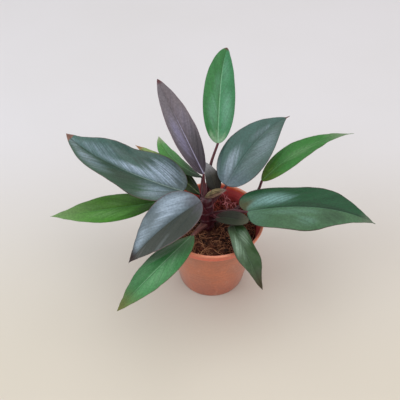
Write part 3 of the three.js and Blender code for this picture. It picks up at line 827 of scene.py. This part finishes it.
def rounded(corners, radius, steps=4):
    """The outline with each corner between the first and the last turned into a short curve."""
    corners = [np.array(c, float) for c in corners]
    outline = [corners[0]]
    for before, corner, after in zip(corners, corners[1:], corners[2:]):
        into, out = before - corner, after - corner
        reach = min(radius, np.linalg.norm(into) * 0.45, np.linalg.norm(out) * 0.45)
        start = corner + into / np.linalg.norm(into) * reach
        stop = corner + out / np.linalg.norm(out) * reach
        for t in np.linspace(0, 1, steps):
            outline.append(start * (1 - t) ** 2 + corner * 2 * t * (1 - t) + stop * t * t)
    return np.array([*outline, corners[-1]])


def pot_profile():
    """Pairs of radius and height, from the middle of the underside to that of the floor."""
    lip_foot = POT.height - POT.lip
    under_lip = pot_inside(lip_foot) + POT.wall
    lip_inside = POT.rim - POT.bead - POT.wall
    bend = POT.floor + POT.floor_fillet
    return rounded([
        (0, 0),
        (POT.rest_disc, 0),
        (POT.rest_disc + POT.foot_edge, POT.recess),
        (POT.foot - POT.foot_ring - POT.foot_edge, POT.recess),
        (POT.foot - POT.foot_ring, 0),
        (POT.foot - POT.foot_edge, 0),
        (POT.foot, POT.foot_edge),
        (under_lip - 0.0004, lip_foot - 0.002),
        (under_lip + POT.step - 0.0006, lip_foot),
        (under_lip + POT.step, lip_foot + POT.step_slope),
        (POT.rim - POT.bead, POT.height - POT.bead_height - POT.step_slope),
        (POT.rim, POT.height - POT.bead_height),
        (POT.rim, POT.height - POT.rim_edge),
        (POT.rim - POT.rim_edge, POT.height),
        (lip_inside + 0.0005, POT.height),
        (lip_inside, POT.height - POT.rim_edge),
        (pot_inside(lip_foot) + 0.0012, lip_foot + 0.002),
        (pot_inside(lip_foot), lip_foot - 0.001),
        (pot_inside(bend), bend),
        (pot_inside(POT.floor) - POT.floor_fillet, POT.floor),
        (0, POT.floor),
    ], POT.fillet)


def make_pot():
    rings = turned(pot_profile()[1:-1], even_turns(POT.sides))
    pot = make_object("pot_shell", *closed_rings(rings, (0, 0, 0), (0, 0, POT.floor)))
    drill(pot)
    sharpen(pot, POT.sharp_angle)
    dress(pot, pot_material(), "pot", "pot")


def drill(pot):
    """Cuts the drain holes through the pot's floor."""
    drill_bits = bmesh.new()
    for angle in even_turns(DRAIN.holes):
        made = bmesh.ops.create_cone(
            drill_bits, cap_ends=True, segments=DRAIN.sides, radius1=DRAIN.radius,
            radius2=DRAIN.radius, depth=POT.floor * 3,
        )
        centre = (DRAIN.circle * math.cos(angle), DRAIN.circle * math.sin(angle), POT.floor)
        bmesh.ops.translate(drill_bits, verts=made["verts"], vec=centre)
    cutter = object_from("drain_cutters", drill_bits)
    cut = pot.modifiers.new("drains", "BOOLEAN")
    cut.operation = "DIFFERENCE"
    cut.object = cutter
    bpy.context.view_layer.update()
    evaluated = pot.evaluated_get(bpy.context.evaluated_depsgraph_get())
    whole = bpy.data.meshes.new_from_object(evaluated)
    pot.modifiers.clear()
    pot.data = whole
    bpy.data.objects.remove(cutter)


# The potting mix

def soil_height(x, y):
    """The height of the mix: low swells, and a slope down at the pot's wall."""
    long, wide, short = SOIL.swell_lengths
    swell = np.sin(x / long + 0.6) * np.cos(y / wide) + 0.5 * np.sin((x + y) / short)
    edge = smoothstep(np.hypot(x, y), *SOIL.settle_span)
    return SOIL.level + SOIL.swell * swell - SOIL.settle * edge


def crumble(x, y):
    """Clumps and grains of the mix, added to its height at one place."""
    place = Vector((x, y, 0.0))
    clumps = noise.fractal(place * SOIL.clump_scale, 0.8, 2.1, 4)
    grains = abs(noise.noise(place * SOIL.grain_scale))
    return SOIL.clump_height * clumps + SOIL.grain_height * grains


def make_soil():
    shoulder = SOIL.level - SOIL.settle - 2 * SOIL.swell
    floor = POT.floor + SOIL.clearance
    bend = floor + POT.floor_fillet
    edge = pot_inside(shoulder) - 2 * SOIL.clearance
    turns = even_turns(SOIL.sides)
    rings = [*turned([
        (pot_inside(floor) - POT.floor_fillet - 2 * SOIL.clearance, floor),
        (pot_inside(bend) - 3 * SOIL.clearance, bend),
        (edge, shoulder),
    ], turns)]
    for i in range(SOIL.rings):
        radius = edge * (1 - i / SOIL.rings)
        x, y = radius * np.cos(turns), radius * np.sin(turns)
        lumps = np.array([crumble(a, b) for a, b in zip(x, y)])
        rings.append(np.stack([x, y, soil_height(x, y) + lumps], -1))
    points, faces = closed_rings(np.array(rings), (0, 0, floor), (0, 0, SOIL.level))
    dress(make_object("potting_mix", points, faces), soil_material(), "soil", "soil")


def scatter(draw, reach):
    """A random place on the mix, even over its disc."""
    radius = reach * math.sqrt(draw.random())
    angle = draw.random() * math.tau
    return radius * math.cos(angle), radius * math.sin(angle)


def drawn(draw, sizes, power=1):
    """A random size from the least one up. With a higher power, small ones are more frequent."""
    least, more = sizes
    return least + more * draw.random() ** power


def make_strands(name, kind, shape, material):
    """Many thin tubes as one piece. kind holds their sizes, and shape draws one: its middle
    line, its first right direction and its radius along the line."""
    draw = np.random.default_rng(kind.seed)
    turns = even_turns(kind.sides)
    all_points, all_faces, shades = [], [], []
    made_before = 0
    for _ in range(kind.count):
        centres, first_right, radius = shape(draw)
        rights, ups = carried_frames(centres, first_right)
        points, faces = tube(centres, rights, ups, round_outline(radius[:, None], turns))
        all_points.append(points)
        all_faces += [tuple(made_before + v for v in face) for face in faces]
        shades += [(draw.random(), 0, 0)] * len(points)
        made_before += len(points)
    strands = make_object(name, np.vstack(all_points), all_faces, {"scrap": shades})
    dress(strands, material, "soil")


def fibre(draw):
    """A coir fibre: a thin curl or arch that lies on the mix, with its ends in it."""
    x, y = scatter(draw, FIBRE.spread)
    heading = draw.random() * math.tau
    curl = (draw.random() - 0.5) * FIBRE.curl
    step = drawn(draw, FIBRE.length) / FIBRE.steps
    rise = drawn(draw, FIBRE.rise, power=2)
    radius = drawn(draw, FIBRE.radius, power=2)
    path = [np.array([x, y])]
    for i in range(FIBRE.steps):
        angle = heading + curl * i / FIBRE.steps
        path.append(path[-1] + step * np.array([math.cos(angle), math.sin(angle)]))
    path = np.array(path) - (path[-1] - path[0]) / 2
    path = path * np.minimum(1, FIBRE.reach / np.maximum(np.hypot(*path.T), 1e-6))[:, None]
    share = np.linspace(-1, 1, FIBRE.steps + 1)
    height = soil_height(path[:, 0], path[:, 1]) + rise * (1 - share ** 2) + FIBRE.lift
    centres = np.column_stack([path, height - FIBRE.end_sink * share ** 6])
    return centres, (0, 0, 1), radius * (1 - 0.5 * share ** 2)


def make_fibres():
    coir = scrap_material("coir", "#5a2c1f", "#f2b183")
    make_strands("coir_fibres", FIBRE, fibre, coir)


def dry_curl(draw):
    """A pale dry curl that stands up from the mix behind the stem and bows over."""
    foot = np.array(CURL.middle) + CURL.spread * (draw.random(2) - 0.5)
    foot = foot * min(1, CURL.reach / np.hypot(*foot))
    heading = draw.random() * math.tau
    height = drawn(draw, CURL.height)
    bow = drawn(draw, CURL.bow)
    angles = np.linspace(0, math.pi * drawn(draw, CURL.half_turns), CURL.steps + 1)
    out = bow * (1 - np.cos(angles))
    rise = height * np.sin(np.minimum(angles, CURL.top_angle)) + CURL.climb * angles
    centres = np.column_stack([
        foot[0] + out * math.cos(heading),
        foot[1] + out * math.sin(heading),
        float(soil_height(*foot)) - CURL.sink + rise,
    ])
    radius = drawn(draw, CURL.radius) * np.linspace(1, 0.5, CURL.steps + 1)
    return centres, (-math.sin(heading), math.cos(heading), 0), radius


def make_curls():
    dry = scrap_material("dry_curl", "#8a4a48", "#ffe4da")
    make_strands("dry_curls", CURL, dry_curl, dry)


def make_chips():
    """Bark chips and crumbs: rough lumps half sunk in the mix."""
    draw = np.random.default_rng(CHIP.seed)
    lumps = bmesh.new()
    layer = lumps.verts.layers.float_vector.new("scrap")
    for i in range(CHIP.count + CHIP.crumbs):
        sizes, rounds = (CHIP.size, 2) if i < CHIP.count else (CHIP.crumb_size, 1)
        size = drawn(draw, sizes)
        x, y = scatter(draw, CHIP.spread)
        tilt = CHIP.tilt * (draw.random(3) * 2 - 1)
        flat = drawn(draw, CHIP.flatness)
        spin = Matrix.Rotation(draw.random() * math.tau, 3, "Z")
        shade = Vector((draw.random(), 0, 0))
        lean = Vector((tilt[0], tilt[1], 1)).to_track_quat("Z", "Y")
        place = Vector((x, y, float(soil_height(x, y)) + CHIP.lift + size * CHIP.stand))
        made = bmesh.ops.create_icosphere(lumps, subdivisions=rounds, radius=size)
        for v in made["verts"]:
            lump = noise.noise(v.co * (CHIP.lumps / size) + Vector((i, 0, 0)))
            shape = Vector((v.co.x * CHIP.stretch, v.co.y, v.co.z * flat))
            shape *= 1 + CHIP.roughness * lump
            shape.rotate(lean)
            v.co = spin @ shape + place
            v[layer] = shade
    chips = object_from("bark_chips", lumps)
    chips.data.shade_smooth()
    dress(chips, scrap_material("bark", "#20110c", "#703f2c"), "soil")


# The stem and the petioles

def stem_axis(z):
    """The middle of the stem at a height above its middle point."""
    share = (z - STEM.middle[2]) / (STEM.top[2] - STEM.middle[2])
    return np.array(STEM.middle) * (1 - share) + np.array(STEM.top) * share


def leaf_scars(t, sharpness):
    """Narrow rings at the leaf scars: 1 on each, and 0 between them."""
    return np.maximum(np.cos(t * STEM.rings * math.tau), 0) ** sharpness


def stalk_places(along, turns):
    """How far along and round a stalk each of its points is, with its two end points last."""
    places = np.stack([along + 0 * turns, turns / math.tau + 0 * along, 0 * along * turns], -1)
    return np.vstack([places.reshape(-1, 3), (0, 0, 0), (1, 0, 0)])


def make_stem():
    """The stem, with a ring at each old leaf scar, narrowing to the growing tip."""
    centres = spline([STEM.foot, STEM.middle, STEM.top], STEM.steps)
    rights, ups = carried_frames(centres, (1, 0, 0))
    t = np.linspace(0, 1, STEM.steps + 1)[:, None]
    turns = even_turns(STEM.sides)[None]
    taper = STEM.foot_radius + (STEM.top_radius - STEM.foot_radius) * t
    tilted = t + STEM.ring_tilt * np.cos(turns + 5 * t)
    ridges = leaf_scars(tilted, STEM.ring_sharpness)
    grooves = leaf_scars(tilted - STEM.groove_shift, STEM.groove_sharpness)
    bark = sum(height * np.sin(ribs * turns + twist * t) for height, ribs, twist in STEM.bark)
    tip = STEM.tip_narrowing * smoothstep(t, *STEM.tip_span)
    radius = (taper + STEM.ring_height * (ridges - 0.5 * grooves) + bark) * (1 - tip)
    points, faces = tube(centres, rights, ups, round_outline(radius, turns))
    stem = make_object("stem_ringed", points, faces, {"stalk_place": stalk_places(t, turns)})
    dress(stem, stalk_material("stem_skin", "#2e0a14", "#541a28", 14.0), "stem", "stem")


def make_petiole(name, leaf, material):
    """A petiole, broad and grooved where it clasps the stem, slim and round at its blade."""
    forward, right, up = (rows[0] for rows in directions(leaf, np.zeros(1)))
    base = np.array(leaf.base)
    dips = [leaf.dip] if leaf.dip else []
    centres = spline([stem_axis(leaf.node), *dips, leaf.via, base], PETIOLE.steps)
    tongue = [base + forward * past - up * PETIOLE.tongue_sink for past, _ in PETIOLE.tongue]
    centres = np.vstack([centres, tongue])
    rights, ups = carried_frames(centres[::-1], right)

    t = np.linspace(0, 1, PETIOLE.steps + 1)
    radius = leaf.stalk * (PETIOLE.end + (PETIOLE.base - PETIOLE.end) * (1 - t) ** 2)
    narrowing = [radius[-1] * share for _, share in PETIOLE.tongue]
    radius = np.concatenate([radius, narrowing])[:, None]
    t = np.concatenate([t, np.ones(len(PETIOLE.tongue))])[:, None]
    turns = even_turns(PETIOLE.sides)[None]
    width = PETIOLE.width + PETIOLE.base_flare * (1 - t)
    from_top = (turns - math.pi / 2) / PETIOLE.groove_spread
    groove = PETIOLE.groove * np.exp(-from_top ** 2) * (1 - 0.5 * t)
    height = PETIOLE.height * (1 - groove)
    outline = np.stack([radius * width * np.cos(turns), radius * height * np.sin(turns)], -1)
    points, faces = tube(centres, rights[::-1], -ups[::-1], outline)
    made = make_object(f"stalk_{name}", points, faces, {"stalk_place": stalk_places(t, turns)})
    dress(made, material, "petiole", f"petiole_{name}")


# The leaves

def directions(leaf, t):
    """The forward, right and up directions of a blade at places t from 0 to 1."""
    pitch = np.radians(leaf.rise - leaf.droop * t)
    heading = np.radians(leaf.heading + leaf.bend * t + leaf.hook * t ** 3)
    roll = np.radians(leaf.roll + leaf.twist * t)[:, None]
    flat = np.cos(pitch)
    forward = np.stack([flat * np.cos(heading), flat * np.sin(heading), np.sin(pitch)], -1)
    level = np.stack([np.sin(heading), -np.cos(heading), 0 * heading], -1)
    above = np.cross(level, forward)
    right = level * np.cos(roll) + above * np.sin(roll)
    up = above * np.cos(roll) - level * np.sin(roll)
    return forward, right, up


def midrib_stations(leaf, rows):
    """Stations along the midrib, closer together at its ends and with the drip tip's after
    them: each one's place t, what is left of the drip tip, its point and its directions."""
    steps = np.linspace(0, 1, rows + 1)
    t = steps - BLADE.end_crowding * np.sin(math.tau * steps)
    forward, _, _ = directions(leaf, (t[1:] + t[:-1]) / 2)
    travelled = np.cumsum(forward * (leaf.length * np.diff(t))[:, None], 0)
    points = np.vstack([np.zeros(3), travelled]) + np.array(leaf.base)
    axes = directions(leaf, t)
    reach = np.ones(rows + 1)
    if leaf.tail:
        shares = np.linspace(0, 1, TAIL.rows + 1)[1:]
        tail = points[-1] + axes[0][-1] * (leaf.tail * shares)[:, None]
        points = np.vstack([points, tail])
        axes = [np.vstack([axis, np.repeat(axis[-1:], TAIL.rows, 0)]) for axis in axes]
        t = np.concatenate([t, np.ones(TAIL.rows)])
        reach = np.concatenate([reach, 1 - shares])
    return t[:, None], reach[:, None], points, axes


def blade_outline(leaf, t, reach):
    """Half the blade's width at places t. reach falls from 1 to 0 along the drip tip."""
    m = leaf.widest
    a = leaf.round
    b = a * (1 - m) / m
    half = leaf.width / 2 * (t / m) ** a * ((1 - t) / (1 - m)) ** b
    near = np.minimum(t / BLADE.base_length, 1)
    least = BLADE.base_half_width * (1 - near) + BLADE.tip_half_width * near
    tail = np.where((leaf.tail > 0) & (t > 0.5), TAIL.half_width * reach, 0)
    return np.maximum(half, least + tail)


def blade_lift(leaf, t, u, half):
    """How far the fold, the curl and the waves of the margin raise a blade's two halves."""
    fold = math.radians(leaf.fold)
    turn = leaf.waves * t + leaf.phase + np.where(u > 0, 0, BLADE.left_wave_shift)
    share = half / (leaf.width / 2)
    ripple = leaf.wave * share * u ** 2 * np.sin(turn * math.tau)
    return half * (np.abs(u) * math.sin(fold) - BLADE.curl * u ** 2) + ripple


def vein_phase(leaf, t, x):
    """How many side veins lie between the base and a place. Each leans towards the tip."""
    sweep = VEIN.sweep * x ** 2 / (leaf.width / 2)
    return (t * leaf.length - VEIN.lean * np.abs(x) - sweep) / VEIN.spacing


def soft_waves(phase, x, number, across_veins, along_veins):
    """Soft uneven waves of a blade's surface, drawn out along its side veins."""
    sides = np.where(x > 0, 3.0, -3.0) + BLADE.noise_step * number
    places = np.stack([phase * across_veins, np.abs(x) * along_veins, sides], -1)
    heights = [noise.noise(Vector(place)) for place in places.reshape(-1, 3).tolist()]
    return np.array(heights).reshape(x.shape)


def blade_relief(x, u, share, phase, number):
    """Sunk side veins, staggered on the two halves, and the soft waves between them."""
    beside = np.abs(x)
    staggered = phase + np.where(u > 0, 0.5, 0)
    ridge = np.abs(np.cos(math.pi * staggered)) ** VEIN.sharpness
    fade = smoothstep(beside, *VEIN.start) * (1 - np.abs(u) ** 8)
    waves = soft_waves(phase, x, number, *WAVE.scales)
    wrinkles = soft_waves(phase, x, number, *WRINKLE.scales)
    veins = VEIN.depth * fade * ridge * share * (0.5 + 2 * np.abs(wrinkles))
    away = smoothstep(beside, *WAVE.start)
    return away * (WAVE.height * waves + WRINKLE.height * wrinkles) - veins


def blade_skins(t, x, u, half):
    """How far the upper face is above the blade's middle surface, and the lower face below it,
    with the midrib's groove and keel."""
    thickness = BLADE.edge + (BLADE.thickness - BLADE.edge) * (1 - np.abs(u) ** 6)
    thickness = thickness * np.minimum(1, 0.35 + half / 0.003)
    swell = BLADE.base_swell * np.maximum(0, 1 - t / BLADE.swell_length) * (1 - u ** 2)
    groove = RIB.groove * np.exp(-(x / RIB.groove_half_width) ** 2)
    groove = groove * smoothstep(t, *RIB.groove_start) * (1 - t) ** 0.5
    keel = (RIB.keel * (1 - t) + RIB.tip_keel * t) * np.exp(-(x / RIB.half_width) ** 2)
    keel = keel * np.minimum(1, half / BLADE.base_half_width)
    return thickness / 2 + swell - groove, thickness / 2 + keel


def sheet_faces(rows, columns):
    """The faces of a closed sheet: its upper points' grid, its lower ones' and its edge."""
    layer = rows * columns
    faces = grid_faces(rows, columns) + grid_faces(rows, columns, start=layer, flip=True)
    for left in range(0, layer - columns, columns):
        right = left + columns - 1
        faces.append((left, left + columns, layer + left + columns, layer + left))
        faces.append((right, layer + right, layer + right + columns, right + columns))
    last = layer - columns
    for j in range(columns - 1):
        faces.append((j, layer + j, layer + j + 1, j + 1))
        faces.append((last + j, last + j + 1, layer + last + j + 1, layer + last + j))
    return faces


def make_blade(name, leaf, material, slot, node, number=0, rows=BLADE.rows):
    """A blade as one closed thin body, grooved above and keeled below along its midrib, with
    its side veins in low relief. number gives it waves of its own."""
    t, reach, midrib, axes = midrib_stations(leaf, rows)
    forward, right, up = (axis[:, None] for axis in axes)
    spacing = np.linspace(-1, 1, BLADE.columns)
    u = (np.sign(spacing) * np.abs(spacing) ** BLADE.column_crowding)[None]
    half = blade_outline(leaf, t, reach)
    x = half * u
    share = half / (leaf.width / 2)
    phase = vein_phase(leaf, t, x)
    lift = blade_lift(leaf, t, u, half) + blade_relief(x, u, share, phase, number)
    above, below = blade_skins(t, x, u, half)
    lobes = leaf.lobe * (1 + leaf.skew * np.sign(u)) * u ** 2
    back = lobes * share * (1 - t) ** BLADE.lobe_falloff
    sideways = x * math.cos(math.radians(leaf.fold))
    middle = midrib[:, None] + sideways[..., None] * right - back[..., None] * forward
    top = middle + (lift + above)[..., None] * up
    bottom = middle + (lift - below)[..., None] * up

    along = t + (1 - reach) * TAIL.shade_length
    place = np.stack([along + 0 * x, u + 0 * x, x], -1).reshape(-1, 3)
    veins = np.stack([phase, 0 * x, BLADE.noise_step * number + 0 * x], -1).reshape(-1, 3)
    layers = {
        "leaf_place": np.vstack([place, place]),
        "leaf_vein": np.vstack([veins, veins + (0, 1, 0)]),
    }
    points = np.vstack([top.reshape(-1, 3), bottom.reshape(-1, 3)])
    made = make_object(name, points, sheet_faces(*x.shape), layers)
    dress(made, material, slot, node)


# The room

def make_floor():
    corners = ((-1, -1), (1, -1), (1, 1), (-1, 1))
    points = [(x * FLOOR_REACH, y * FLOOR_REACH, 0) for x, y in corners]
    floor = make_object("floor", points, [(0, 1, 2, 3)])
    floor.data.materials.append(floor_material())


def add_card(name, place, aim, size, power, colour):
    """A soft rectangular light at place that faces aim."""
    light = bpy.data.lights.new(name, "AREA")
    light.shape = "RECTANGLE"
    light.size, light.size_y = size
    light.energy = power
    light.color = colour
    made = add_object(name, light)
    made.location = place
    made.rotation_euler = (Vector(aim) - Vector(place)).to_track_quat("-Z", "Y").to_euler()


def light_room():
    world = bpy.data.worlds.new("room")
    world.use_nodes = True
    background = world.node_tree.nodes["Background"]
    background.inputs["Color"].default_value = ROOM_COLOUR
    background.inputs["Strength"].default_value = ROOM_STRENGTH
    bpy.context.scene.world = world
    for name, card in CARDS.items():
        add_card(name, *card)


def add_camera():
    camera = bpy.data.cameras.new("camera")
    camera.lens = CAMERA.lens
    camera.sensor_width = CAMERA.sensor
    camera.clip_start = CAMERA.clip
    made = add_object("camera", camera)
    made.location = CAMERA.place
    made.rotation_euler = (math.radians(CAMERA.tilt), 0, 0)
    bpy.context.scene.camera = made
    bpy.context.scene.view_settings.view_transform = "Standard"


def make_plant():
    make_stem()
    stalk = stalk_material("stalk_skin", "#380f19", "#662a34", 9.0)
    old_stalk = stalk_material("old_stalk_skin", "#4c2828", "#8e5c52", 9.0)
    for number, (name, shape) in enumerate(LEAVES.items()):
        leaf = SimpleNamespace(**{**LEAF_DEFAULTS, **shape})
        look = SimpleNamespace(**{**LOOK_DEFAULTS, **LOOKS[name]})
        skin = leaf_material(name, look)
        make_blade(f"leaf_{name}", leaf, skin, look.slot, f"blade_{name}", number)
        make_petiole(name, leaf, old_stalk if name in OLD_STALKS else stalk)
    sheath = SimpleNamespace(**{**LEAF_DEFAULTS, **SHEATH})
    skin = sheath_material()
    make_blade("sheath_dry", sheath, skin, "dry_sheath", "dry_sheath", rows=BLADE.sheath_rows)


add_camera()
light_room()
make_floor()
make_pot()
make_soil()
make_fibres()
make_curls()
make_chips()
make_plant()
